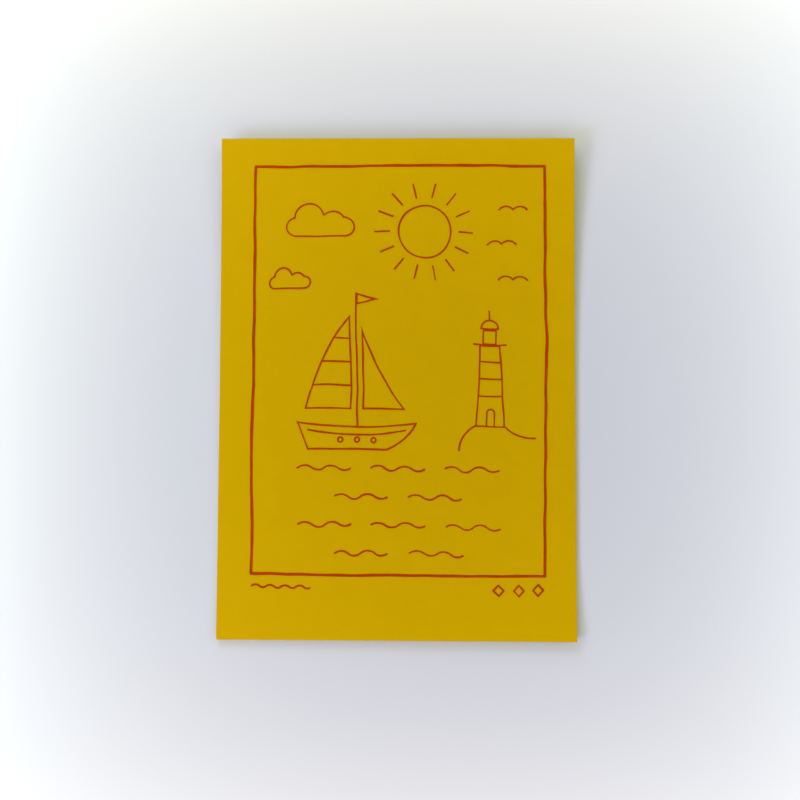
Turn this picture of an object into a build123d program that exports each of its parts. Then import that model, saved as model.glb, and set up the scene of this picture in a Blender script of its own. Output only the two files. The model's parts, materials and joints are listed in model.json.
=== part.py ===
from build123d import *
from math import degrees, radians, tan
import os

# A6 picture postcard, in millimetres. Three pasted plies of yellow card carry a red line print that
# stands on the face and a grey form print soaked into the back. +X runs to the right of the picture,
# +Y to its top edge and +Z out of its face. The origin is on the table, under the middle of the card.

# Board
card_width = 105.0
card_length = 148.0  # along the sheet
face_thickness = 0.07
core_thickness = 0.28
back_thickness = 0.07

# Lie of the sheet: its foot lifts a little at the bottom edge, then it lies flat up to the bend, and
# from there it curls up in arcs that tighten towards the top edge
foot_length = 30.0
foot_radius = 1000.0  # of the underside
flat_length = 28.0
curl_radius = 950.0  # of the underside in the last arc
curl_arcs = 8

# Ink
ink_film = 0.05  # height of the picture print above the face
soak_depth = 0.02  # depth of the form print in the back
line_pen = 0.5
border_pen = 0.8
form_pen = 0.4

# Hand-drawn frame line, measured from the card's edges to the middle of the line
left_margin = 9.65
right_margin = 9.0
top_margin = 8.35
bottom_margin = 19.1
frame_bow = 0.3  # how far each side bends off its straight line
frame_lean = 0.8  # how far the left side leans in at the top

# Sky, measured from the frame's top and sides
sun_from_right = 35.5
sun_from_top = 19.5
sun_radius = 8.0
ray_count = 14
ray_gap = 2.4
ray_length = 4.5
cloud_from_left = 20.0
cloud_from_top = 18.0
cloud_base = 14.0
cloud_depth = 6.4
tall_puff_radius = 4.6
tall_puff_shift = (-3.2, 2.8)
low_puff_radius = 3.7
low_puff_shift = (3.8, 1.4)
far_cloud_from_left = 11.0
far_cloud_from_top = 35.0
far_cloud_scale = 0.63
gull_count = 3
gull_from_right = 9.0
gull_from_top = 13.0
gull_span = 8.0
gull_arch = 1.1
gull_step_x = 3.2
gull_step_y = 10.5

# Sea, measured from the frame's bottom
waterline_height = 36.0
wave_rows = 4
wave_length = 8.0
waves_per_stroke = 2
wave_gap = 6.0
wave_heading = 38.0  # steepness of a wave where it crosses its row
wave_margin = 5.5  # of the wave field from the frame and the waterline

# Headland and lighthouse
headland_reach = 25.0  # from the frame's right side to the tip
headland_margin = 2.5
headland_hollow = 1.0
hill_height = 7.0
hill_fall = 3.0  # from the crown to the frame's right side
tower_from_right = 16.0
tower_base = 9.0
tower_top = 6.4
tower_height = 25.0
tower_bands = 3
gallery_width = 10.0
lantern_width = 4.4
lantern_height = 4.6
dome_radius = 2.9
finial_height = 2.2
door_width = 2.8
door_height = 4.2

# Sailing boat
hull_length = 36.0
hull_depth = 8.5
hull_sheer = 1.6
stern_rake = 3.5
bow_rake = 9.0
bow_flare = 1.2
strake_drop = 2.8
strake_inset = 3.4
porthole_count = 3
porthole_pitch = 5.0
porthole_radius = 0.7
porthole_height = 2.9
mast_height = 38.0
pennant_length = 6.5
pennant_depth = 3.4
sail_gap = 1.6  # between the mast and each sail
boom_lift = 3.6
main_foot = 14.0
main_hoist = 28.0
main_roach = 2.0
jib_foot = 13.0
jib_hoist = 25.0
jib_hollow = 1.3
sail_seams = 3

# Small marks below the frame
mark_drop = 4.2
mark_wave_length = 4.4
mark_waves = 4
diamond_count = 3
diamond_radius = 1.9
diamond_pitch = 6.0

# Form print on the back, laid out along the card
form_margin = 8.0
rule_count = 4
rule_pitch = 10.0
rule_from_side = 10.0
rule_gap = 10.0  # between the divider and the rules
stamp_width = 21.0
stamp_height = 25.0
stamp_margin = 6.0

# Heights of the plies over the table, and the lie of the sheet
back_top = back_thickness
core_top = back_top + core_thickness
card_top = core_top + face_thickness
bottom_edge = -card_length / 2
top_edge = card_length / 2
foot_end = bottom_edge + foot_length
bend = foot_end + flat_length
arc_length = (top_edge - bend) / curl_arcs
arc_radii = [curl_radius * curl_arcs / (step + 1) for step in range(curl_arcs)]
print_height = card_length  # of an ink outline before it is cut to its layer

# Middle lines of the frame, and the places that follow from them
frame_left = left_margin - card_width / 2
frame_right = card_width / 2 - right_margin
frame_top = top_edge - top_margin
frame_bottom = bottom_edge + bottom_margin
mark_row = frame_bottom - mark_drop
waterline = frame_bottom + waterline_height
headland_tip = frame_right - headland_reach
hill_top = waterline + hill_height
tower_x = frame_right - tower_from_right
gallery = hill_top + tower_height
dome_foot = gallery + lantern_height
dome_top = dome_foot + dome_radius
boat_x = (frame_left + headland_tip) / 2
deck = waterline + hull_depth
boom = deck + boom_lift
masthead = deck + mast_height


def sheet_line(height):
    """Draw the line along the sheet at a height above its underside, and give its first and last arc."""
    foot = JernArc((foot_end, height), (-1, 0), foot_radius - height, -degrees(foot_length / foot_radius))
    run = Line((foot_end, height), (bend, height))
    for radius in arc_radii:
        run = JernArc(run @ 1, run % 1, radius - height, degrees(arc_length / radius))
    return foot, run


def sheet_profile(low, high):
    """Draw the side outline of the layer of the sheet between two heights."""
    for low_arc, high_arc in zip(sheet_line(low), sheet_line(high)):
        Line(low_arc @ 1, high_arc @ 1)


def wave_line(middle_x, row, length, waves):
    """Draw a wave line along a row, as half-wave arcs that run smoothly into each other."""
    crossings = [(middle_x + (step - waves) * length / 2, row) for step in range(2 * waves + 1)]
    heading = (1, tan(radians(wave_heading)))
    for crossing, next_crossing in zip(crossings, crossings[1:]):
        heading = TangentArc(crossing, next_crossing, tangent=heading) % 1


def outline(shape):
    """Give the pen line just inside the edge of a shape."""
    with BuildSketch() as line:
        add(shape)
        offset(amount=-line_pen, kind=Kind.INTERSECTION, mode=Mode.SUBTRACT)
    return line.sketch


# Layers that the prints are cut from
with BuildPart() as face_film:
    with BuildSketch(Plane.YZ):
        with BuildLine():
            sheet_profile(card_top, card_top + ink_film)
        make_face()
    extrude(amount=card_width / 2, both=True)

with BuildPart() as soak_layer:
    with BuildSketch(Plane.YZ):
        with BuildLine():
            sheet_profile(0, soak_depth)
        make_face()
    extrude(amount=card_width / 2, both=True)

# Form print in the back
with BuildPart() as ink_divider:
    with BuildSketch():
        Rectangle(card_width - 2 * form_margin, form_pen)
    extrude(amount=print_height)
    add(soak_layer.part, mode=Mode.INTERSECT)

with BuildPart() as ink_address_rules:
    rule_start = bottom_edge + form_margin
    rule_end = -rule_gap
    with BuildSketch():
        for rule in range(rule_count):
            rule_x = card_width / 2 - rule_from_side - rule * rule_pitch
            with Locations((rule_x, (rule_start + rule_end) / 2)):
                Rectangle(form_pen, rule_end - rule_start)
    extrude(amount=print_height)
    add(soak_layer.part, mode=Mode.INTERSECT)

with BuildPart() as ink_stamp_box:
    stamp_x = stamp_margin + stamp_height / 2 - card_width / 2
    stamp_y = bottom_edge + stamp_margin + stamp_width / 2
    with BuildSketch():
        with Locations((stamp_x, stamp_y)):
            Rectangle(stamp_height, stamp_width)
        offset(amount=-form_pen, kind=Kind.INTERSECTION, mode=Mode.SUBTRACT)
    extrude(amount=print_height)
    add(soak_layer.part, mode=Mode.INTERSECT)

# Board plies
with BuildPart() as back_ply:
    with BuildSketch(Plane.YZ):
        with BuildLine():
            sheet_profile(0, back_top)
        make_face()
    extrude(amount=card_width / 2, both=True)
    add(ink_divider.part, mode=Mode.SUBTRACT)
    add(ink_address_rules.part, mode=Mode.SUBTRACT)
    add(ink_stamp_box.part, mode=Mode.SUBTRACT)

with BuildPart() as core_ply:
    with BuildSketch(Plane.YZ):
        with BuildLine():
            sheet_profile(back_top, core_top)
        make_face()
    extrude(amount=card_width / 2, both=True)

with BuildPart() as face_ply:
    with BuildSketch(Plane.YZ):
        with BuildLine():
            sheet_profile(core_top, card_top)
        make_face()
    extrude(amount=card_width / 2, both=True)

# Picture print on the face
with BuildPart() as ink_border:
    corners = [
        (frame_left + frame_lean, frame_top),
        (frame_right, frame_top),
        (frame_right, frame_bottom),
        (frame_left, frame_bottom),
    ]
    with BuildSketch():
        for corner, next_corner in zip(corners, corners[1:] + corners[:1]):
            with BuildLine():
                SagittaArc(corner, next_corner, frame_bow)
                offset(amount=border_pen / 2)
            make_face()
    extrude(amount=print_height)
    add(face_film.part, mode=Mode.INTERSECT)

with BuildPart() as ink_sun:
    with BuildSketch():
        with Locations((frame_right - sun_from_right, frame_top - sun_from_top)):
            Circle(sun_radius + line_pen / 2)
            Circle(sun_radius - line_pen / 2, mode=Mode.SUBTRACT)
            with PolarLocations(sun_radius + ray_gap + ray_length / 2, ray_count):
                Rectangle(ray_length, line_pen)
    extrude(amount=print_height)
    add(face_film.part, mode=Mode.INTERSECT)

with BuildSketch() as cloud:
    SlotCenterToCenter(cloud_base, cloud_depth)
    with Locations(tall_puff_shift):
        Circle(tall_puff_radius)
    with Locations(low_puff_shift):
        Circle(low_puff_radius)

with BuildPart() as ink_clouds:
    with BuildSketch():
        with Locations((frame_left + cloud_from_left, frame_top - cloud_from_top)):
            add(cloud.sketch)
        with Locations((frame_left + far_cloud_from_left, frame_top - far_cloud_from_top)):
            add(scale(cloud.sketch, by=far_cloud_scale, mode=Mode.PRIVATE))
        offset(amount=-line_pen, mode=Mode.SUBTRACT)
    extrude(amount=print_height)
    add(face_film.part, mode=Mode.INTERSECT)

with BuildPart() as ink_gulls:
    first_gull = Vector(frame_right - gull_from_right, frame_top - gull_from_top)
    with BuildSketch():
        for step in range(gull_count):
            gull = first_gull - Vector(step % 2 * gull_step_x, step * gull_step_y)
            with BuildLine():
                SagittaArc(gull - (gull_span / 2, 0), gull, gull_arch)
                SagittaArc(gull, gull + (gull_span / 2, 0), gull_arch)
                offset(amount=line_pen, side=Side.LEFT)
            make_face()
    extrude(amount=print_height)
    add(face_film.part, mode=Mode.INTERSECT)

with BuildSketch() as mainsail:
    main_tack = (boat_x - sail_gap, boom)
    main_head = (boat_x - sail_gap, boom + main_hoist)
    main_clew = (boat_x - sail_gap - main_foot, boom)
    with BuildLine():
        Line(main_tack, main_head)
        SagittaArc(main_head, main_clew, -main_roach)
        Line(main_clew, main_tack)
    make_face()

with BuildSketch() as jib:
    jib_clew = (boat_x + sail_gap, boom)
    jib_head = (boat_x + sail_gap, boom + jib_hoist)
    jib_tack = (boat_x + sail_gap + jib_foot, boom)
    with BuildLine():
        Line(jib_clew, jib_head)
        SagittaArc(jib_head, jib_tack, -jib_hollow)
        Line(jib_tack, jib_clew)
    make_face()

with BuildPart() as ink_sails:
    seam_pitch = main_hoist / (sail_seams + 1)
    with BuildSketch():
        for seam in range(sail_seams):
            with Locations((boat_x, boom + (seam + 1) * seam_pitch)):
                Rectangle(2 * (sail_gap + main_foot + main_roach), line_pen)
        add(mainsail.sketch, mode=Mode.INTERSECT)
        add(outline(mainsail.sketch))
        add(outline(jib.sketch))
    extrude(amount=print_height)
    add(face_film.part, mode=Mode.INTERSECT)

with BuildSketch() as hull:
    stern_top = (boat_x - hull_length / 2, deck)
    stern_foot = (boat_x - hull_length / 2 + stern_rake, waterline)
    bow_top = (boat_x + hull_length / 2, deck)
    bow_foot = (boat_x + hull_length / 2 - bow_rake, waterline)
    with BuildLine():
        SagittaArc(stern_top, bow_top, -hull_sheer)
        SagittaArc(bow_top, bow_foot, bow_flare)
        Line(bow_foot, stern_foot)
        Line(stern_foot, stern_top)
    make_face()

with BuildSketch() as pennant:
    with BuildLine():
        Polyline(
            (boat_x, masthead),
            (boat_x, masthead - pennant_depth),
            (boat_x + pennant_length, masthead - pennant_depth / 2),
            close=True,
        )
    make_face()

with BuildPart() as ink_hull:
    mast_foot = deck - hull_sheer
    strake_start = (boat_x - hull_length / 2 + strake_inset, deck - strake_drop)
    strake_end = (boat_x + hull_length / 2 - strake_inset, deck - strake_drop)
    with BuildSketch():
        add(outline(hull.sketch))
        add(outline(pennant.sketch))
        with Locations((boat_x, (mast_foot + masthead) / 2)):
            Rectangle(line_pen, masthead - mast_foot)
        with BuildLine():
            SagittaArc(strake_start, strake_end, -hull_sheer)
            offset(amount=line_pen, side=Side.LEFT)
        make_face()
        with Locations((boat_x, waterline + porthole_height)):
            with GridLocations(porthole_pitch, 0, porthole_count, 1):
                Circle(porthole_radius + line_pen / 2)
                Circle(porthole_radius - line_pen / 2, mode=Mode.SUBTRACT)
    extrude(amount=print_height)
    add(face_film.part, mode=Mode.INTERSECT)

with BuildSketch() as tower:
    with BuildLine():
        Polyline(
            (tower_x - tower_base / 2, hill_top),
            (tower_x - tower_top / 2, gallery),
            (tower_x + tower_top / 2, gallery),
            (tower_x + tower_base / 2, hill_top),
            close=True,
        )
    make_face()

with BuildSketch() as lantern:
    with Locations((tower_x, gallery + lantern_height / 2)):
        Rectangle(lantern_width, lantern_height)

with BuildSketch() as dome:
    with BuildLine():
        CenterArc((tower_x, dome_foot), dome_radius, 0, 180)
        Line((tower_x - dome_radius, dome_foot), (tower_x + dome_radius, dome_foot))
    make_face()

with BuildSketch() as door:
    with Locations((tower_x, hill_top + door_height / 2)):
        Rectangle(door_width, door_height)
    with Locations((tower_x, hill_top + door_height)):
        Circle(door_width / 2)

with BuildPart() as ink_lighthouse:
    band_pitch = (tower_height - door_height) / (tower_bands + 1)
    hill_left = (tower_x - tower_base / 2, hill_top)
    hill_right = (tower_x + tower_base / 2, hill_top)
    with BuildSketch():
        for band in range(tower_bands):
            with Locations((tower_x, gallery - (band + 1) * band_pitch)):
                Rectangle(tower_base, line_pen)
        add(tower.sketch, mode=Mode.INTERSECT)
        add(outline(tower.sketch))
        add(outline(lantern.sketch))
        add(outline(dome.sketch))
        add(outline(door.sketch))
        with Locations((tower_x, gallery)):
            Rectangle(gallery_width, line_pen)
        with Locations((tower_x, dome_top + finial_height / 2)):
            Rectangle(line_pen, finial_height + line_pen)
        with BuildLine():
            SagittaArc((headland_tip, waterline), hill_left, headland_hollow)
            Line(hill_left, hill_right)
            SagittaArc(hill_right, (frame_right - headland_margin, hill_top - hill_fall), -headland_hollow)
            offset(amount=line_pen, side=Side.LEFT)
        make_face()
    extrude(amount=print_height)
    add(face_film.part, mode=Mode.INTERSECT)

with BuildPart() as ink_waves:
    field_width = frame_right - frame_left - 2 * wave_margin
    field_top = waterline - wave_margin
    field_bottom = frame_bottom + wave_margin
    row_pitch = (field_top - field_bottom) / max(wave_rows - 1, 1)
    stroke_pitch = waves_per_stroke * wave_length + wave_gap
    longest_row = int((field_width + wave_gap) // stroke_pitch)
    with BuildSketch():
        for row in range(wave_rows):
            strokes = longest_row - row % 2
            first_x = (frame_left + frame_right - (strokes - 1) * stroke_pitch) / 2
            for stroke in range(strokes):
                with BuildLine():
                    wave_line(
                        first_x + stroke * stroke_pitch,
                        field_top - row * row_pitch,
                        wave_length,
                        waves_per_stroke,
                    )
                    offset(amount=line_pen, side=Side.LEFT)
                make_face()
    extrude(amount=print_height)
    add(face_film.part, mode=Mode.INTERSECT)

with BuildPart() as ink_wave_ornament:
    with BuildSketch():
        with BuildLine():
            wave_line(frame_left + mark_waves * mark_wave_length / 2, mark_row, mark_wave_length, mark_waves)
            offset(amount=line_pen, side=Side.LEFT)
        make_face()
    extrude(amount=print_height)
    add(face_film.part, mode=Mode.INTERSECT)

with BuildPart() as ink_diamond_ornament:
    with BuildSketch():
        for diamond in range(diamond_count):
            with Locations((frame_right - diamond_radius - diamond * diamond_pitch, mark_row)):
                RegularPolygon(diamond_radius, 4)
        offset(amount=-line_pen, kind=Kind.INTERSECTION, mode=Mode.SUBTRACT)
    extrude(amount=print_height)
    add(face_film.part, mode=Mode.INTERSECT)

pieces = {
    "face_ply": face_ply,
    "core_ply": core_ply,
    "back_ply": back_ply,
    "ink_border": ink_border,
    "ink_sun": ink_sun,
    "ink_clouds": ink_clouds,
    "ink_gulls": ink_gulls,
    "ink_sails": ink_sails,
    "ink_hull": ink_hull,
    "ink_lighthouse": ink_lighthouse,
    "ink_waves": ink_waves,
    "ink_wave_ornament": ink_wave_ornament,
    "ink_diamond_ornament": ink_diamond_ornament,
    "ink_divider": ink_divider,
    "ink_address_rules": ink_address_rules,
    "ink_stamp_box": ink_stamp_box,
}
os.makedirs("parts", exist_ok=True)
for node, piece in pieces.items():
    piece.part.label = node
    export_step(piece.part, f"parts/{node}.step")
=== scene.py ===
"""Dresses an A6 picture postcard of yellow card with a red line print.

The board's three plies and every patch of ink are laid out on the flat sheet, worked on there, and then
rolled onto the sheet's curl, so that the print follows the face and the plies meet along the whole card.
All sizes are in metres.
"""
import json
import logging
import math
from dataclasses import dataclass
from enum import Enum
from functools import cached_property

import bmesh
import bpy
from mathutils import Matrix, Vector, noise


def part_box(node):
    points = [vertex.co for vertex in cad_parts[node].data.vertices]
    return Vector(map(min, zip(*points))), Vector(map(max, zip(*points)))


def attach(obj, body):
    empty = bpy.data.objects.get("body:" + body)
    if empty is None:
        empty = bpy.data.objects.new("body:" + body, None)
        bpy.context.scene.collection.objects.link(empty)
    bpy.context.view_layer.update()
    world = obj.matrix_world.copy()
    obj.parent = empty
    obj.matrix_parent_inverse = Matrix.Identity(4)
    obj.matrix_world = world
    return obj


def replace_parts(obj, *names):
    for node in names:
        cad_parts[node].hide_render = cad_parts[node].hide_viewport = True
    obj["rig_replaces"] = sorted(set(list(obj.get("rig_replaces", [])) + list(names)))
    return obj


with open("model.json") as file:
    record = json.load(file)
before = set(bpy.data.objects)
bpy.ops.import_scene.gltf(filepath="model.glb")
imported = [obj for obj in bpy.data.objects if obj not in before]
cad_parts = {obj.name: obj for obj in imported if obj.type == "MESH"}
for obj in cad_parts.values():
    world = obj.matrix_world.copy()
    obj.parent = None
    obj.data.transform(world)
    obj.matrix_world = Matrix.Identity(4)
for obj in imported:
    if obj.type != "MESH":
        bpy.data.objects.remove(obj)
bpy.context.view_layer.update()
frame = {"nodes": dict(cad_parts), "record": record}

MM = 0.001
MERGE_REACH = 0.001 * MM
CUT_REACH = 0.002 * MM
BODY = "root"
LOG = logging.getLogger("postcard")

Triple = tuple[float, float, float]
Colour = Triple
Socket = bpy.types.NodeSocket


class PrintSide(Enum):
    """The two prints of the card, named by the material slot of their ink."""

    PICTURE = "picture_ink"
    FORM = "form_ink"


@dataclass(frozen=True)
class Arc:
    """One arc of the curl, as it runs along the underside of the sheet.

    Attributes:
        along: Distance along the sheet at which the arc starts, from the middle of the card.
        y: Place of its start along the table.
        z: Height of its start over the table.
        turn: Slope of the sheet at its start, in radians.
        radius: Radius of the underside.
    """

    along: float
    y: float
    z: float
    turn: float
    radius: float

    @property
    def centre(self) -> tuple[float, float]:
        """Give the arc's centre, which lies over the sheet."""
        return self.y - self.radius * math.sin(self.turn), self.z + self.radius * math.cos(self.turn)

    def point(self, along: float, height: float) -> tuple[float, float]:
        """Find a point over the arc.

        Args:
            along: Distance along the sheet from the middle of the card.
            height: Height over the underside.

        Returns:
            The point's place along the table and its height over the table.
        """
        turn = self.turn + (along - self.along) / self.radius
        centre_y, centre_z = self.centre
        reach = self.radius - height
        return centre_y + reach * math.sin(turn), centre_z - reach * math.cos(turn)

    def place(self, y: float, z: float) -> tuple[float, float]:
        """Find where on the arc a point lies.

        Args:
            y: Place of the point along the table.
            z: Height of the point over the table.

        Returns:
            The distance along the sheet and the height over the underside.
        """
        centre_y, centre_z = self.centre
        turn = math.atan2(y - centre_y, centre_z - z)
        reach = math.hypot(y - centre_y, centre_z - z)
        return self.along + (turn - self.turn) * self.radius, self.radius - reach


@dataclass(frozen=True)
class CurledSheet:
    """The lie of the card: its foot lifts, its middle lies flat, and its top curls up in tightening arcs.

    Attributes:
        width: Width of the card.
        length: Length of the card along the sheet.
        foot_run: Length of the foot's arc.
        foot_radius: Radius of the underside in the foot.
        foot_twist: How much further the foot's right corner lifts than its middle, and its left one less.
        flat_run: Length of the flat band.
        end_radius: Radius of the underside in the last arc of the curl.
        arc_count: Number of arcs in the curl.
    """

    width: float
    length: float = 148 * MM
    foot_run: float = 30 * MM
    foot_radius: float = 1000 * MM
    foot_twist: float = 0.2 * MM
    flat_run: float = 28 * MM
    end_radius: float = 950 * MM
    arc_count: int = 8

    @cached_property
    def foot(self) -> Arc:
        """Give the foot's arc, which runs down from the flat band to the bottom edge."""
        foot_end = self.foot_run - self.length / 2
        return Arc(foot_end, foot_end, 0.0, 0.0, self.foot_radius)

    @cached_property
    def arcs(self) -> list[Arc]:
        """Work out the arcs of the curl, each starting where the one before it ends.

        Returns:
            The arcs, from the flat band to the top edge.
        """
        along = self.foot.along + self.flat_run
        step_length = (self.length / 2 - along) / self.arc_count
        y, z, turn = along, 0.0, 0.0
        arcs = []
        for step in range(self.arc_count):
            arc = Arc(along, y, z, turn, self.end_radius * self.arc_count / (step + 1))
            arcs.append(arc)
            along += step_length
            y, z = arc.point(along, 0.0)
            turn += step_length / arc.radius
        return arcs

    def roll(self, flat: Vector) -> Vector:
        """Lay a point of the flat sheet onto the curl.

        Args:
            flat: Place across the card, distance along it and height over its underside.

        Returns:
            The point in the frame of the model.
        """
        x, along, height = flat
        if along < self.foot.along:
            y, z = self.foot.point(along, height)
            down = (self.foot.along - along) / self.foot_run
            return Vector((x, y, z + self.foot_twist * down * down * 2 * x / self.width))
        passed = [arc for arc in self.arcs if arc.along <= along]
        y, z = passed[-1].point(along, height) if passed else (along, height)
        return Vector((x, y, z))

    def unroll(self, point: Vector) -> Vector:
        """Take a point of the solid model back to the flat sheet.

        Args:
            point: The point in the frame of the model, where the foot isn't twisted.

        Returns:
            Its place across the card, its distance along it and its height over its underside.
        """
        x, y, z = point
        if y < self.foot.along:
            return Vector((x, *self.foot.place(y, z)))
        for arc in reversed(self.arcs):
            along, height = arc.place(y, z)
            if along >= arc.along:
                return Vector((x, along, height))
        return Vector((x, y, z))


class Shader:
    """A material being made, with short calls for the nodes that the finishes share.

    Attributes:
        usual_noise: The span in which most values of a noise lie.
    """

    usual_noise = (0.3, 0.7)

    def __init__(self, name: str) -> None:
        """Start a material with its Principled shader and object coordinates.

        Args:
            name: Name of the material.
        """
        self.material = bpy.data.materials.new(name)
        self.material.use_nodes = True
        self.tree = self.material.node_tree
        self.surface = self.tree.nodes["Principled BSDF"]
        self.place = self.tree.nodes.new("ShaderNodeTexCoord").outputs["Object"]

    def node(self, kind: str, **settings: object) -> bpy.types.Node:
        """Add a node and set its own properties.

        Args:
            kind: The node's type.
            settings: Values of its properties.

        Returns:
            The node.
        """
        made = self.tree.nodes.new(kind)
        for name, value in settings.items():
            setattr(made, name, value)
        return made

    def feed(self, node: bpy.types.Node, socket: str | int, value: object) -> None:
        """Join an output to a node's input, or set the input's value.

        Args:
            node: The node that takes the value.
            socket: Name or number of its input.
            value: An output socket, or a plain value.
        """
        if isinstance(value, Socket):
            self.tree.links.new(value, node.inputs[socket])
        else:
            node.inputs[socket].default_value = value

    def finish(self, **inputs: object) -> bpy.types.Material:
        """Feed the Principled shader and give the material.

        Args:
            inputs: Values by the shader's input names, with underscores for spaces.

        Returns:
            The finished material.
        """
        for name, value in inputs.items():
            self.feed(self.surface, name.replace("_", " "), value)
        return self.material

    def turned(self, stretch: Triple, angle: float) -> Socket:
        """Give coordinates that are turned about the card's face and stretched.

        Args:
            stretch: Length of one unit along each axis.
            angle: The turn, in degrees.

        Returns:
            The coordinates.
        """
        mapping = self.node("ShaderNodeMapping", vector_type="TEXTURE")
        self.feed(mapping, "Vector", self.place)
        self.feed(mapping, "Rotation", (0.0, 0.0, math.radians(angle)))
        self.feed(mapping, "Scale", stretch)
        return mapping.outputs["Vector"]

    def cloud(self, grain: float, detail: float = 2.0, place: Socket | None = None) -> Socket:
        """Give a noise from 0 to 1.

        Args:
            grain: Size of its patches.
            detail: Number of finer layers.
            place: Coordinates, or the object's own.

        Returns:
            The noise's value.
        """
        made = self.node("ShaderNodeTexNoise")
        self.feed(made, "Vector", place or self.place)
        self.feed(made, "Scale", 1 / grain)
        self.feed(made, "Detail", detail)
        return made.outputs["Fac"]

    def span(
        self,
        value: Socket,
        low: float,
        high: float,
        to_low: float = 0.0,
        to_high: float = 1.0,
    ) -> Socket:
        """Map a value smoothly from one span to another, and hold it there.

        Args:
            value: The value.
            low: Start of its span.
            high: End of its span.
            to_low: Start of the new span.
            to_high: End of the new span.

        Returns:
            The new value.
        """
        made = self.node("ShaderNodeMapRange", interpolation_type="SMOOTHSTEP")
        for socket, number in enumerate((value, low, high, to_low, to_high)):
            self.feed(made, socket, number)
        return made.outputs["Result"]

    def patches(self, grain: float, detail: float = 2.0) -> Socket:
        """Give a noise whose usual values are spread over the whole span from 0 to 1."""
        return self.span(self.cloud(grain, detail), *self.usual_noise)

    def combine(self, operation: str, first: object, second: object) -> Socket:
        """Join two values by a Math node's operation.

        Args:
            operation: The operation.
            first: An output socket, or a number.
            second: An output socket, or a number.

        Returns:
            The result.
        """
        made = self.node("ShaderNodeMath", operation=operation)
        self.feed(made, 0, first)
        self.feed(made, 1, second)
        return made.outputs["Value"]

    def blend(self, amount: object, first: object, second: object) -> Socket:
        """Mix two colours.

        Args:
            amount: How much of the second colour shows, from 0 to 1.
            first: An output socket, or a colour.
            second: An output socket, or a colour.

        Returns:
            The mixed colour.
        """
        made = self.node("ShaderNodeMix", data_type="RGBA")
        colours = [socket for socket in made.inputs if socket.type == "RGBA"]
        self.feed(made, 0, amount)
        for socket, colour in zip(colours, (first, second)):
            if isinstance(colour, Socket):
                self.tree.links.new(colour, socket)
            else:
                socket.default_value = (*colour, 1.0)
        return next(socket for socket in made.outputs if socket.type == "RGBA")

    def relief(self, height: Socket, depth: float) -> Socket:
        """Give a surface a fine relief.

        Args:
            height: Height of the surface, as a value from 0 to 1.
            depth: Height that a value of 1 stands for.

        Returns:
            The normal of the surface.
        """
        made = self.node("ShaderNodeBump")
        self.feed(made, "Height", height)
        self.feed(made, "Distance", depth)
        return made.outputs["Normal"]


def seen_directly(tree: bpy.types.NodeTree) -> Socket:
    """Tell a ray that shows a surface to the camera, straight or by a mirror or glass, from one that lights.

    Args:
        tree: The node tree that the test is added to.

    Returns:
        A value of 1 for a ray that shows and 0 for one that lights.
    """
    path = tree.nodes.new("ShaderNodeLightPath")
    seen = path.outputs["Is Camera Ray"]
    for kind in ("Is Glossy Ray", "Is Transmission Ray"):
        either = tree.nodes.new("ShaderNodeMath")
        either.operation = "MAXIMUM"
        tree.links.new(seen, either.inputs[0])
        tree.links.new(path.outputs[kind], either.inputs[1])
        seen = either.outputs["Value"]
    return seen


def shade(colour: Colour, factor: float) -> Colour:
    """Give a darker or lighter colour."""
    return tuple(channel * factor for channel in colour)


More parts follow.
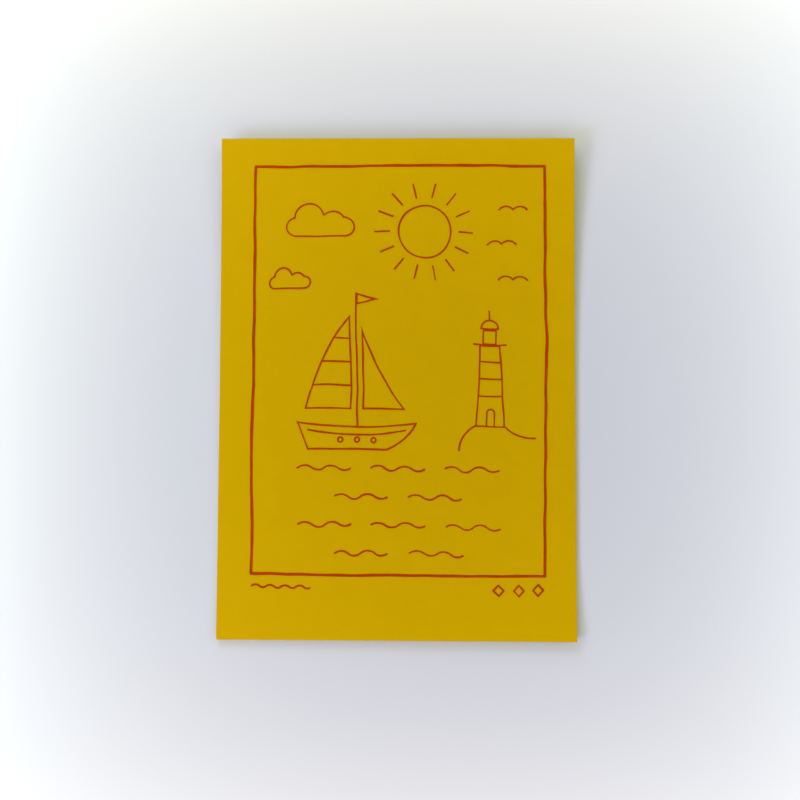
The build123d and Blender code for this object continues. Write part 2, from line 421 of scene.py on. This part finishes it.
@dataclass(frozen=True)
class BoardFinish:
    """Uncoated board dyed through: cloudy formation, loose fibres and a fine tooth.

    A tone is a factor on the colour of the sheet, a level is the span of a noise in which a pattern comes
    up, and a share says how much of it shows, from 0 to 1.

    Attributes:
        name: Name of the material.
        colour: Colour of the sheet.
        sheen: Strength of its faint sheen.
        sheen_tint: Colour of the sheen, which comes back through the dyed fibres.
        roughness: Roughness in the hollows of the mottle and on its heights.
        cloud_grain: Size of the clouds that the pulp settled in.
        cloud_tones: Tones of the thin and the thick clouds.
        mottle_grain: Size of the mottle.
        mottle_tone: Tone of the mottle.
        mottle_share: Share of the mottle.
        fibre_length: Length of a loose fibre.
        fibre_width: Width of a loose fibre.
        fibre_level: Level of the fibres.
        fibre_share: Share of the fibres.
        pale_tone: Tone of the pale fibres.
        pale_angles: Directions that the pale fibres lie in, in degrees.
        dark_tone: Tone of the dark fibres.
        dark_angles: Directions that the dark fibres lie in, in degrees.
        tooth_grain: Size of the surface's tooth.
        tooth_depth: Depth of the tooth.
        fibre_rise: Height of a pale fibre, as a share of the tooth.
        felt: Share of the layers of felted fibre in the cut edge.
        felt_layer: Thickness of such a layer.
        felt_run: Length of such a layer.
        felt_level: Level of the layers.
        felt_tone: Tone of the layers.
    """

    name: str
    colour: Colour
    sheen: float = 0.03
    sheen_tint: Colour = (1.0, 0.65, 0.01)
    roughness: tuple[float, float] = (0.8, 0.92)
    cloud_grain: float = 7 * MM
    cloud_tones: tuple[float, float] = (0.985, 1.015)
    mottle_grain: float = 0.9 * MM
    mottle_tone: float = 1.02
    mottle_share: float = 0.5
    fibre_length: float = 1.5 * MM
    fibre_width: float = 0.045 * MM
    fibre_level: tuple[float, float] = (0.62, 0.74)
    fibre_share: float = 0.35
    pale_tone: float = 1.12
    pale_angles: tuple[float, float] = (24.0, -61.0)
    dark_tone: float = 0.86
    dark_angles: tuple[float, float] = (78.0, -17.0)
    tooth_grain: float = 0.22 * MM
    tooth_depth: float = 0.012 * MM
    fibre_rise: float = 0.3
    felt: float = 0.0
    felt_layer: float = 0.03 * MM
    felt_run: float = 4 * MM
    felt_level: tuple[float, float] = (0.35, 0.65)
    felt_tone: float = 0.7

    def fibres(self, shader: Shader, angles: tuple[float, float]) -> Socket:
        """Give the loose fibres that lie about two directions.

        Args:
            shader: The material being made.
            angles: The two directions, in degrees.

        Returns:
            The fibres as streaks, from 0 to 1.
        """
        stretch = (self.fibre_length, self.fibre_width, self.fibre_width)
        places = [shader.turned(stretch, angle) for angle in angles]
        clouds = [shader.cloud(grain=1.0, detail=1.0, place=place) for place in places]
        return shader.combine("MAXIMUM", *(shader.span(cloud, *self.fibre_level) for cloud in clouds))

    def mark(self, shader: Shader, ground: Socket, pattern: Socket, share: float, tone: float) -> Socket:
        """Mark the ground with a share of a pattern, in a tone of the sheet's colour."""
        return shader.blend(shader.combine("MULTIPLY", pattern, share), ground, shade(self.colour, tone))

    def material(self) -> bpy.types.Material:
        """Make the material.

        Returns:
            The material, under the finish's name.
        """
        shader = Shader(self.name)
        clouds = shader.patches(self.cloud_grain, detail=3.0)
        mottle = shader.patches(self.mottle_grain, detail=4.0)
        pale_fibres = self.fibres(shader, self.pale_angles)
        dark_fibres = self.fibres(shader, self.dark_angles)
        ground = shader.blend(clouds, *(shade(self.colour, tone) for tone in self.cloud_tones))
        ground = self.mark(shader, ground, mottle, self.mottle_share, self.mottle_tone)
        ground = self.mark(shader, ground, pale_fibres, self.fibre_share, self.pale_tone)
        ground = self.mark(shader, ground, dark_fibres, self.fibre_share, self.dark_tone)
        if self.felt:
            place = shader.turned((self.felt_run, self.felt_run, self.felt_layer), angle=0.0)
            layers = shader.span(shader.cloud(grain=1.0, place=place), *self.felt_level)
            ground = self.mark(shader, ground, layers, self.felt, self.felt_tone)
        tooth = shader.cloud(self.tooth_grain, detail=3.0)
        height = shader.combine("ADD", tooth, shader.combine("MULTIPLY", pale_fibres, self.fibre_rise))
        return shader.finish(
            Base_Color=ground,
            Roughness=shader.span(mottle, 0.0, 1.0, *self.roughness),
            Specular_IOR_Level=self.sheen,
            Specular_Tint=(*self.sheen_tint, 1.0),
            Normal=shader.relief(height, self.tooth_depth),
        )


@dataclass(frozen=True)
class InkFinish:
    """A film of ink on board: uneven in density, thin in the pits of the sheet, a little smoother than it.

    Attributes:
        name: Name of the material.
        colour: Colour of the full film.
        thin_colour: Colour where the film is thin.
        sheen: Strength of its faint sheen.
        sheen_tint: Colour of the sheen.
        roughness: Roughness of the film and of the pits.
        pool_grain: Size of the patches in which the ink lies thicker.
        pool_tones: Factors on the colour where the ink lies thinner and thicker.
        pit_grain: Size of the pits that it bridges.
        pit_level: The span of a noise in which the pits come up.
        pit_share: How much the pits show, from 0 to 1.
        pit_depth: Depth of the pits in the film.
    """

    name: str
    colour: Colour
    thin_colour: Colour
    sheen: float = 0.03
    sheen_tint: Colour = (1.0, 0.3, 0.02)
    roughness: tuple[float, float] = (0.75, 0.95)
    pool_grain: float = 2.4 * MM
    pool_tones: tuple[float, float] = (1.08, 0.9)
    pit_grain: float = 0.12 * MM
    pit_level: tuple[float, float] = (0.56, 0.72)
    pit_share: float = 0.45
    pit_depth: float = 0.008 * MM

    def material(self) -> bpy.types.Material:
        """Make the material.

        Returns:
            The material, under the finish's name.
        """
        shader = Shader(self.name)
        grain = shader.cloud(self.pit_grain)
        pits = shader.span(grain, *self.pit_level)
        pools = shader.patches(self.pool_grain)
        film = shader.blend(pools, *(shade(self.colour, tone) for tone in self.pool_tones))
        film = shader.blend(shader.combine("MULTIPLY", pits, self.pit_share), film, self.thin_colour)
        return shader.finish(
            Base_Color=film,
            Roughness=shader.span(pits, 0.0, 1.0, *self.roughness),
            Specular_IOR_Level=self.sheen,
            Specular_Tint=(*self.sheen_tint, 1.0),
            Normal=shader.relief(grain, self.pit_depth),
        )


@dataclass(frozen=True)
class FloorFinish:
    """A plain pale table top that runs out to white; its colour is painted paler away from the card, as
    painted light.

    Attributes:
        colour: Colour around the card.
        painted_light_colour: Colour that it pales to, painted light that brightens the table away from the
            card.
        painted_light_span: Distances from the card's middle between which that painted light comes up.
        fade: Distances between which it gives way to the white of the room.
        roughness: Roughness of the table top.
        sheen: Strength of its faint sheen.
    """

    colour: Colour = (0.565, 0.565, 0.565)
    painted_light_colour: Colour = (0.95, 0.95, 0.95)
    painted_light_span: tuple[float, float] = (0.07, 0.35)
    fade: tuple[float, float] = (0.155, 0.2)
    roughness: float = 0.7
    sheen: float = 0.1

    def material(self) -> bpy.types.Material:
        """Make the material.

        Returns:
            The material, which shows white far from the card but lights it as a table does.
        """
        shader = Shader("pale_table")
        distance = shader.node("ShaderNodeVectorMath", operation="LENGTH")
        shader.feed(distance, 0, shader.place)
        # Painted light: the table's colour is painted paler with distance from the card, and darker around
        # it.
        far = shader.span(distance.outputs["Value"], *self.painted_light_span)
        tone = shader.blend(far, self.colour, self.painted_light_colour)
        outside = shader.span(distance.outputs["Value"], *self.fade)
        white = shader.node("ShaderNodeEmission")
        choice = shader.node("ShaderNodeMixShader")
        shader.feed(choice, "Fac", shader.combine("MULTIPLY", outside, seen_directly(shader.tree)))
        shader.feed(choice, 1, shader.surface.outputs["BSDF"])
        shader.feed(choice, 2, white.outputs["Emission"])
        shader.feed(shader.tree.nodes["Material Output"], "Surface", choice.outputs["Shader"])
        return shader.finish(Base_Color=tone, Roughness=self.roughness, Specular_IOR_Level=self.sheen)


def is_upright(edge: bmesh.types.BMEdge, least_rise: float = 0.9) -> bool:
    """Tell whether an edge of a flat mesh stands on the sheet, rising for at least a share of its length."""
    return abs(edge.verts[0].co.z - edge.verts[1].co.z) > least_rise * edge.calc_length()


def round_edges(
    flat: bmesh.types.BMesh,
    edges: list[bmesh.types.BMEdge],
    reach: float,
    segments: int,
    clamp: bool = False,
) -> None:
    """Round edges of a flat mesh.

    Args:
        flat: The mesh on the flat sheet.
        edges: The edges.
        reach: How far the rounding reaches from them.
        segments: Number of facets in the rounding.
        clamp: Whether the rounding is held back where it would run into another.
    """
    bmesh.ops.bevel(
        flat,
        geom=edges,
        offset=reach,
        affect="EDGES",
        segments=segments,
        profile=0.5,
        material=-1,
        clamp_overlap=clamp,
    )
    flat.normal_update()


@dataclass
class Ply:
    """One sheet of the pasted board.

    Attributes:
        name: Name of the piece.
        node: The CAD node that it replaces.
        slot: Material slot of the record; not used.
        sheet: The lie of the card.
        low: Height of its underside over the card's.
        high: Height of its upper side.
        finish: Its finish.
        soft_rim: Height of the rim that handling has rounded, or None.
        cell: Size of the mesh's cells.
        corner: Radius of the blunted corners.
        rim: Width of the rounded rim.
        rim_turn: The least angle between faces that is a rim, in degrees.
        cut_wave: Wave length of the unevenness of the cut edge.
        cut_depth: Depth of that unevenness.
        crease: The least angle between faces that is shaded as an edge, in degrees.
    """

    name: str
    node: str
    slot: str
    sheet: CurledSheet
    low: float
    high: float
    finish: BoardFinish
    soft_rim: float | None = None
    cell: float = 1.5 * MM
    corner: float = 0.3 * MM
    rim: float = 0.025 * MM
    rim_turn: float = 60.0
    cut_wave: float = 4 * MM
    cut_depth: float = 0.02 * MM
    crease: float = 10.0

    def from_edges(self, point: Vector) -> tuple[float, float]:
        """Give a flat point's distances from the nearer side edge and from the nearer end edge."""
        return self.sheet.width / 2 - abs(point.x), self.sheet.length / 2 - abs(point.y)

    def on_rim(self, point: Vector) -> bool:
        """Tell whether a flat point lies on the cut edge or its rounded rim."""
        return min(self.from_edges(point)) < self.corner / 2

    def at_corner(self, point: Vector) -> bool:
        """Tell whether a flat point lies at a corner of the card."""
        return max(self.from_edges(point)) < self.cut_depth

    def on_soft_rim(self, point: Vector) -> bool:
        """Tell whether a flat point lies on the rim that handling has rounded."""
        return abs(point.z - self.soft_rim) < MERGE_REACH and self.on_rim(point)

    def soften(self, flat: bmesh.types.BMesh) -> None:
        """Blunt the corners, and round the rim that faces outwards.

        Args:
            flat: The mesh on the flat sheet.
        """
        corners = [
            edge for edge in flat.edges
            if is_upright(edge) and all(self.at_corner(vert.co) for vert in edge.verts)
        ]
        round_edges(flat, corners, self.corner, segments=4)
        if self.soft_rim is None:
            return
        rim = [
            edge for edge in flat.edges
            if edge.calc_face_angle(0.0) > math.radians(self.rim_turn)
            and all(self.on_soft_rim(vert.co) for vert in edge.verts)
        ]
        round_edges(flat, rim, self.rim, segments=2)

    def flat_mesh(self) -> bmesh.types.BMesh:
        """Make the flat sheet as a grid that is drawn up to its thickness.

        Returns:
            The mesh on the flat sheet.
        """
        flat = bmesh.new()
        spread = Matrix.Diagonal((self.sheet.width, self.sheet.length, 1, 1))
        bmesh.ops.create_grid(
            flat,
            x_segments=round(self.sheet.width / self.cell),
            y_segments=round(self.sheet.length / self.cell),
            size=0.5,
            matrix=Matrix.Translation((0, 0, self.low)) @ spread,
        )
        drawn = bmesh.ops.extrude_face_region(flat, geom=flat.faces[:])
        raised = [part for part in drawn["geom"] if isinstance(part, bmesh.types.BMVert)]
        bmesh.ops.translate(flat, verts=raised, vec=(0, 0, self.high - self.low))
        bmesh.ops.recalc_face_normals(flat, faces=flat.faces[:])
        return flat

    def cut_edges(self, flat: bmesh.types.BMesh) -> None:
        """Give the cut edge the slight unevenness of a blade's cut.

        Args:
            flat: The mesh on the flat sheet.
        """
        flat.normal_update()
        for vert in flat.verts:
            if self.on_rim(vert.co):
                outward = Vector((vert.normal.x, vert.normal.y, 0))
                vert.co += outward * self.cut_depth * noise.noise(vert.co / self.cut_wave)

    def build(self) -> bpy.types.Object:
        """Build the ply, dress it and put it in the place of its node.

        Returns:
            The piece.
        """
        flat = self.flat_mesh()
        self.soften(flat)
        self.cut_edges(flat)
        material = self.finish.material()
        return place_piece(flat, self.sheet, self.name, self.node, material, self.crease)


@dataclass
class BackPly(Ply):
    """The sheet on the message side, with the shallow beds that the form print has soaked into."""

    def flat_mesh(self) -> bmesh.types.BMesh:
        """Unroll the node's own mesh, with its beds, and join its flush triangles.

        Returns:
            The mesh on the flat sheet.
        """
        flat = flat_copy(self.node, self.sheet)
        bmesh.ops.dissolve_limit(
            flat, angle_limit=math.radians(self.crease), verts=flat.verts[:], edges=flat.edges[:])
        return flat

    def soften(self, flat: bmesh.types.BMesh) -> None:
        """Blunt the corners, and cut the sheet into strips that can follow the curl."""
        super().soften(flat)
        slice_along(flat, 1, self.cell)


@dataclass(frozen=True)
class PenHand:
    """How a hand-held pen strays from the ruled line.

    Attributes:
        drift: How far a long line wanders, and the wave length of that.
        tremor: How far it shakes, and the wave length of that.
        swell: How much its edges swell and shrink with the pressure, and the wave length of that.
        rag: How ragged its edges are, and the wave length of that.
        layers: Layers of the noise for straying across the card, straying along it and pressing.
    """

    drift: tuple[float, float] = (0.5 * MM, 26 * MM)
    tremor: tuple[float, float] = (0.22 * MM, 7 * MM)
    swell: tuple[float, float] = (0.1 * MM, 6 * MM)
    rag: tuple[float, float] = (0.04 * MM, 2 * MM)
    layers: tuple[float, float, float] = (2.5, 5.5, 7.5)

    @staticmethod
    def sum_waves(waves: tuple[tuple[float, float], ...], place: Vector, layer: float) -> float:
        """Add up waves of noise at a place on the sheet.

        Args:
            waves: Reach and wave length of each.
            place: The place on the sheet.
            layer: The layer of the noise that they are read from.

        Returns:
            Their sum.
        """
        return sum(
            reach * noise.noise(Vector((place.x / length, place.y / length, layer)))
            for reach, length in waves
        )

    def stray(self, place: Vector) -> Vector:
        """Give the way that the pen is off its line at a place on the sheet."""
        waves = (self.drift, self.tremor)
        return Vector((*(self.sum_waves(waves, place, layer) for layer in self.layers[:2]), 0))

    def press(self, place: Vector) -> float:
        """Give how much wider the line's edge is at a place on the sheet."""
        return self.sum_waves((self.swell, self.rag), place, self.layers[2])


@dataclass
class InkPatch:
    """One motif of a print, as a film of ink.

    Attributes:
        node: The CAD node that it replaces.
        side: The print that it belongs to; not used.
        sheet: The lie of the card.
        material: The ink.
        hand: The pen that drew it, or None for a ruled print.
        step: Pitch of the cuts at which its lines can bend.
        shoulder: Width over which a pen line's film thins out at its edge.
        edge_film: Height of the film at that edge, as a share of the film.
        upward: The least upward part of a normal on the film's upper side.
        tip: How far the pen's round tip cuts the corners and ends of a line.
        corner_turn: The least turn of a line's edge that is such a corner, in degrees.
        crease: The least angle between faces that is shaded as an edge, in degrees.
    """

    node: str
    side: PrintSide
    sheet: CurledSheet
    material: bpy.types.Material
    hand: PenHand | None = None
    step: float = 0.8 * MM
    shoulder: float = 0.1 * MM
    edge_film: float = 0.35
    upward: float = 0.5
    tip: float = 0.22 * MM
    corner_turn: float = 35.0
    crease: float = 40.0

    @property
    def name(self) -> str:
        """Give the piece's name."""
        return self.node.replace("ink_", "") + "_print"

    def round_corners(self, flat: bmesh.types.BMesh) -> None:
        """Round the corners and ends of the lines, as a pen's tip leaves them.

        Args:
            flat: The mesh on the flat sheet.
        """
        corners = [
            edge for edge in flat.edges
            if is_upright(edge) and edge.calc_face_angle_signed(0.0) > math.radians(self.corner_turn)
        ]
        round_edges(flat, corners, self.tip, segments=3, clamp=True)

    def draw_edges_down(self, flat: bmesh.types.BMesh) -> None:
        """Thin the film out towards the edges of its lines.

        Args:
            flat: The mesh on the flat sheet.
        """
        top = max(vert.co.z for vert in flat.verts)
        bottom = min(vert.co.z for vert in flat.verts)
        middle = (top + bottom) / 2
        upper = [
            face for face in flat.faces
            if face.calc_center_median().z > middle and face.normal.z > self.upward
        ]
        rim = [vert for vert in flat.verts if vert.co.z > middle]
        bmesh.ops.inset_region(
            flat, faces=upper, thickness=self.shoulder, use_even_offset=True, use_boundary=True)
        for vert in rim:
            vert.co.z = bottom + (top - bottom) * self.edge_film

    def draw_by_hand(self, flat: bmesh.types.BMesh) -> None:
        """Move the lines off their ruled places, and vary their width.

        Args:
            flat: The mesh on the flat sheet.
        """
        flat.normal_update()
        moves = []
        for vert in flat.verts:
            outward = Vector((vert.normal.x, vert.normal.y, 0))
            moves.append(self.hand.stray(vert.co) + outward * self.hand.press(vert.co))
        for vert, move in zip(flat.verts, moves):
            vert.co += move

    def build(self) -> bpy.types.Object:
        """Build the motif and put it in the place of its node.

        Returns:
            The piece.
        """
        flat = flat_copy(self.node, self.sheet)
        if self.hand:
            self.round_corners(flat)
            self.draw_edges_down(flat)
            slice_along(flat, 0, self.step)
            slice_along(flat, 1, self.step)
            self.draw_by_hand(flat)
        return place_piece(
            flat, self.sheet, self.name, self.node, self.material, self.crease)


def flat_copy(node: str, sheet: CurledSheet) -> bmesh.types.BMesh:
    """Copy a CAD node's mesh and unroll the copy.

    Args:
        node: Name of the CAD node.
        sheet: The lie of the card.

    Returns:
        The mesh on the flat sheet, whose triangles share their corners.
    """
    flat = bmesh.new()
    flat.from_mesh(frame["nodes"][node].data)
    bmesh.ops.remove_doubles(flat, verts=flat.verts[:], dist=MERGE_REACH)
    for vert in flat.verts:
        vert.co = sheet.unroll(vert.co)
    flat.normal_update()
    return flat


def slice_along(flat: bmesh.types.BMesh, axis: int, pitch: float) -> None:
    """Cut a mesh across, at an even pitch.

    Args:
        flat: The mesh on the flat sheet.
        axis: 0 to step across the card, 1 to step along it.
        pitch: Distance between the cuts.
    """
    places = [vert.co[axis] for vert in flat.verts]
    way = Vector((0, 0, 0))
    way[axis] = 1
    first = math.floor(min(places) / pitch) + 1
    last = math.ceil(max(places) / pitch) - 1
    for cut in range(first, last + 1):
        geometry = flat.verts[:] + flat.edges[:] + flat.faces[:]
        bmesh.ops.bisect_plane(flat, geom=geometry, dist=CUT_REACH, plane_co=way * cut * pitch, plane_no=way)


def place_piece(
    flat: bmesh.types.BMesh,
    sheet: CurledSheet,
    name: str,
    node: str,
    material: bpy.types.Material,
    crease: float,
) -> bpy.types.Object:
    """Roll a flat mesh onto the card and make it the piece that stands for a node.

    Args:
        flat: The mesh on the flat sheet, which is used up.
        sheet: The lie of the card.
        name: Name of the piece.
        node: The CAD node that it replaces.
        material: Its material.
        crease: The least angle between faces that is shaded as an edge, in degrees.

    Returns:
        The piece, riding on the card.
    """
    for vert in flat.verts:
        vert.co = sheet.roll(vert.co)
    flat.normal_update()
    for face in flat.faces:
        face.smooth = True
    for edge in flat.edges:
        edge.smooth = edge.calc_face_angle(0.0) < math.radians(crease)
    mesh = bpy.data.meshes.new(name)
    flat.to_mesh(mesh)
    flat.free()
    mesh.materials.append(material)
    piece = bpy.data.objects.new(name, mesh)
    bpy.context.scene.collection.objects.link(piece)
    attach(piece, BODY)
    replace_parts(piece, node)
    return piece


@dataclass
class Board:
    """The card's three pasted plies.

    Attributes:
        sheet: The lie of the card.
        back_top: Height of the back ply's upper side.
        core_top: Height of the core ply's upper side.
        card_top: Height of the card's face.
        dye: Colour of the sheets.
        core_tone: Factor on that colour in the core.
        core_felt: How much the layers of felted fibre show in the core's cut edge, from 0 to 1.
    """

    sheet: CurledSheet
    back_top: float
    core_top: float
    card_top: float
    dye: Colour = (0.535, 0.318, 0.0004)
    core_tone: float = 1.1
    core_felt: float = 0.5

    def build(self) -> list[bpy.types.Object]:
        """Build the plies.

        Returns:
            The pieces, from the back to the face.
        """
        sheet = self.sheet
        face_finish = BoardFinish("board_face", self.dye)
        core_finish = BoardFinish("board_core", shade(self.dye, self.core_tone), felt=self.core_felt)
        back_finish = BoardFinish("board_back", self.dye)
        back = BackPly("back_sheet", "back_ply", "board_back", sheet, 0.0, self.back_top, back_finish)
        core = Ply("core_sheet", "core_ply", "board_core", sheet, self.back_top, self.core_top, core_finish)
        face = Ply("face_sheet", "face_ply", "board_face", sheet, self.core_top, self.card_top, face_finish,
                   soft_rim=self.card_top)
        return [ply.build() for ply in (back, core, face)]


@dataclass
class Prints:
    """The ink of both sides.

    Attributes:
        sheet: The lie of the card.
        picture_ink: Finish of the picture's ink.
        form_ink: Finish of the form's ink.
        hand: The pen that drew the picture.
        frame_hand: The steadier pen that drew its frame.
    """

    sheet: CurledSheet
    picture_ink: InkFinish = InkFinish("red_ink", (0.38, 0.038, 0.0004), (0.47, 0.13, 0.001))
    form_ink: InkFinish = InkFinish("grey_ink", (0.13, 0.1, 0.06), (0.28, 0.18, 0.03))
    hand: PenHand = PenHand(drift=(0.9 * MM, 30 * MM), tremor=(0.34 * MM, 8 * MM))
    frame_hand: PenHand = PenHand()

    def build(self) -> list[bpy.types.Object]:
        """Build every motif of the record's two ink slots.

        Returns:
            The pieces, in the record's order.
        """
        inks = {PrintSide.PICTURE: self.picture_ink.material(), PrintSide.FORM: self.form_ink.material()}
        hands = {PrintSide.PICTURE: self.hand, PrintSide.FORM: None}
        pieces = []
        for subpart in frame["record"]["subparts"]:
            for side, material in inks.items():
                if subpart["material_slot"] == side.value:
                    hand = self.frame_hand if subpart["node"] == "ink_border" else hands[side]
                    pieces.append(InkPatch(subpart["node"], side, self.sheet, material, hand).build())
        return pieces


def direction(bearing: float, elevation: float) -> Vector:
    """Give the direction from the card to a lamp.

    Args:
        bearing: Its angle on the table, in degrees from +X towards +Y.
        elevation: Its angle over the table, in degrees.

    Returns:
        The direction, one metre long.
    """
    across = math.cos(math.radians(elevation))
    return Vector((
        math.cos(math.radians(bearing)) * across,
        math.sin(math.radians(bearing)) * across,
        math.sin(math.radians(elevation)),
    ))


@dataclass(frozen=True)
class Lamp:
    """A lamp that faces the card.

    Attributes:
        name: Name of the lamp.
        bearing: Its angle on the table, in degrees from +X towards +Y.
        elevation: Its angle over the table, in degrees.
        colour: Colour of its light.
    """

    name: str
    bearing: float
    elevation: float
    colour: Colour

    def hang(self, light: bpy.types.Light, distance: float) -> None:
        """Hang a light and turn it to the card.

        Args:
            light: The light.
            distance: Its distance from the card's middle.
        """
        light.color = self.colour
        lamp = bpy.data.objects.new(self.name, light)
        way = direction(self.bearing, self.elevation)
        lamp.location = way * distance
        lamp.rotation_euler = way.to_track_quat("Z", "Y").to_euler()
        lamp.visible_camera = False
        bpy.context.scene.collection.objects.link(lamp)


@dataclass(frozen=True)
class Window(Lamp):
    """A window across the room.

    Attributes:
        spread: How wide it looks from the card, in degrees.
        strength: Strength of its light.
    """

    spread: float
    strength: float

    def build(self) -> None:
        """Set the window as a distant light."""
        light = bpy.data.lights.new(self.name, "SUN")
        light.angle = math.radians(self.spread)
        light.energy = self.strength
        self.hang(light, distance=1.0)


@dataclass(frozen=True)
class Softbox(Lamp):
    """A soft lamp close to the card.

    Attributes:
        power: Power in watts.
        distance: Distance from the card's middle.
        width: Width of its front.
        height: Height of its front.
    """

    power: float
    distance: float = 0.2
    width: float = 0.3
    height: float = 0.06

    def build(self) -> None:
        """Set up the lamp."""
        light = bpy.data.lights.new(self.name, "AREA")
        light.shape = "RECTANGLE"
        light.size = self.width
        light.size_y = self.height
        light.energy = self.power
        self.hang(light, self.distance)


@dataclass
class Studio:
    """The table, the lamps and the room around the card.

    Attributes:
        floor_half: Half the side of the table.
        room_colour: Colour of the even light of the room.
        room_light: Strength of that light.
        lamps: The windows and the soft lamps around the card.
    """

    floor_half: float = 4.0
    room_colour: Colour = (0.97, 0.985, 1.0)
    room_light: float = 0.03
    lamps: tuple[Window | Softbox, ...] = (
        Window("low_window", 213.0, 14.2, colour=(0.385, 0.37, 1.0), spread=13.0, strength=3.4),
        Window("far_window", 112.0, 13.0, colour=(0.38, 0.48, 1.0), spread=18.0, strength=3.2),
        Softbox("left_box", 179.0, 21.0, colour=(0.94, 1.0, 0.84), power=0.578, distance=0.245),
        Softbox("top_box", 90.0, 20.0, colour=(0.98, 0.95, 0.64), power=0.285),
        Softbox("right_box", 0.0, 20.0, colour=(0.95, 1.0, 0.82), power=0.23),
        Softbox("bottom_box", 270.0, 20.0, colour=(1.0, 0.945, 0.73), power=0.44, distance=0.25),
    )

    def build_floor(self) -> None:
        """Lay the table top that the card lies on."""
        top = bmesh.new()
        bmesh.ops.create_grid(top, x_segments=1, y_segments=1, size=self.floor_half)
        mesh = bpy.data.meshes.new("table_top")
        top.to_mesh(mesh)
        top.free()
        mesh.materials.append(FloorFinish().material())
        floor = bpy.data.objects.new("table_top", mesh)
        bpy.context.scene.collection.objects.link(floor)

    def build_room(self) -> None:
        """Light the room evenly, and show white behind the table."""
        world = bpy.data.worlds.new("room")
        world.use_nodes = True
        tree = world.node_tree
        glow = tree.nodes["Background"]
        glow.inputs["Color"].default_value = (*self.room_colour, 1.0)
        glow.inputs["Strength"].default_value = self.room_light
        white = tree.nodes.new("ShaderNodeBackground")
        white.inputs["Color"].default_value = (1.0, 1.0, 1.0, 1.0)
        choice = tree.nodes.new("ShaderNodeMixShader")
        tree.links.new(seen_directly(tree), choice.inputs["Fac"])
        tree.links.new(glow.outputs["Background"], choice.inputs[1])
        tree.links.new(white.outputs["Background"], choice.inputs[2])
        tree.links.new(choice.outputs["Shader"], tree.nodes["World Output"].inputs["Surface"])
        bpy.context.scene.world = world

    def build(self) -> None:
        """Set the whole stage."""
        self.build_floor()
        self.build_room()
        for lamp in self.lamps:
            lamp.build()


@dataclass(frozen=True)
class Viewpoint:
    """The camera over the card.

    Attributes:
        position: Place of the camera.
        aim: The point of the table in the middle of its picture.
        roll: How far the picture's top leans to the left of +Y, in degrees.
        lens: Focal length, in millimetres.
        sensor: Width of the sensor, in millimetres.
        near: The least distance that the camera sees.
    """

    position: Triple = (4.09 * MM, -14.86 * MM, 236.2 * MM)
    aim: Triple = (0.93 * MM, -3.88 * MM, 0.0)
    roll: float = 0.197
    lens: float = 36.0
    sensor: float = 36.0
    near: float = 10 * MM

    def build(self) -> None:
        """Set up the camera and make it the scene's own."""
        data = bpy.data.cameras.new("over_card")
        data.lens = self.lens
        data.sensor_width = self.sensor
        data.clip_start = self.near
        camera = bpy.data.objects.new("over_card", data)
        back = (Vector(self.position) - Vector(self.aim)).normalized()
        right = Vector((0, 1, 0)).cross(back).normalized()
        level = Matrix((right, back.cross(right), back)).transposed().to_4x4()
        roll = Matrix.Rotation(math.radians(self.roll), 4, "Z")
        camera.matrix_world = Matrix.Translation(self.position) @ level @ roll
        bpy.context.scene.collection.objects.link(camera)
        bpy.context.scene.camera = camera


def main() -> None:
    """Build the card, its stage and its camera."""
    logging.basicConfig(level=logging.INFO, format="%(name)s: %(message)s")
    back_low, back_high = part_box("back_ply")
    sheet = CurledSheet(width=back_high.x - back_low.x)
    board = Board(
        sheet,
        back_top=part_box("core_ply")[0].z,
        core_top=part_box("face_ply")[0].z,
        card_top=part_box("ink_waves")[0].z,
    )
    for piece in board.build() + Prints(sheet).build():
        nodes = ", ".join(piece["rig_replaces"])
        LOG.info("%s: %d faces, for %s", piece.name, len(piece.data.polygons), nodes)
    Studio().build()
    Viewpoint().build()
    bpy.context.scene.view_settings.view_transform = "Standard"


if __name__ == "__main__":
    main()
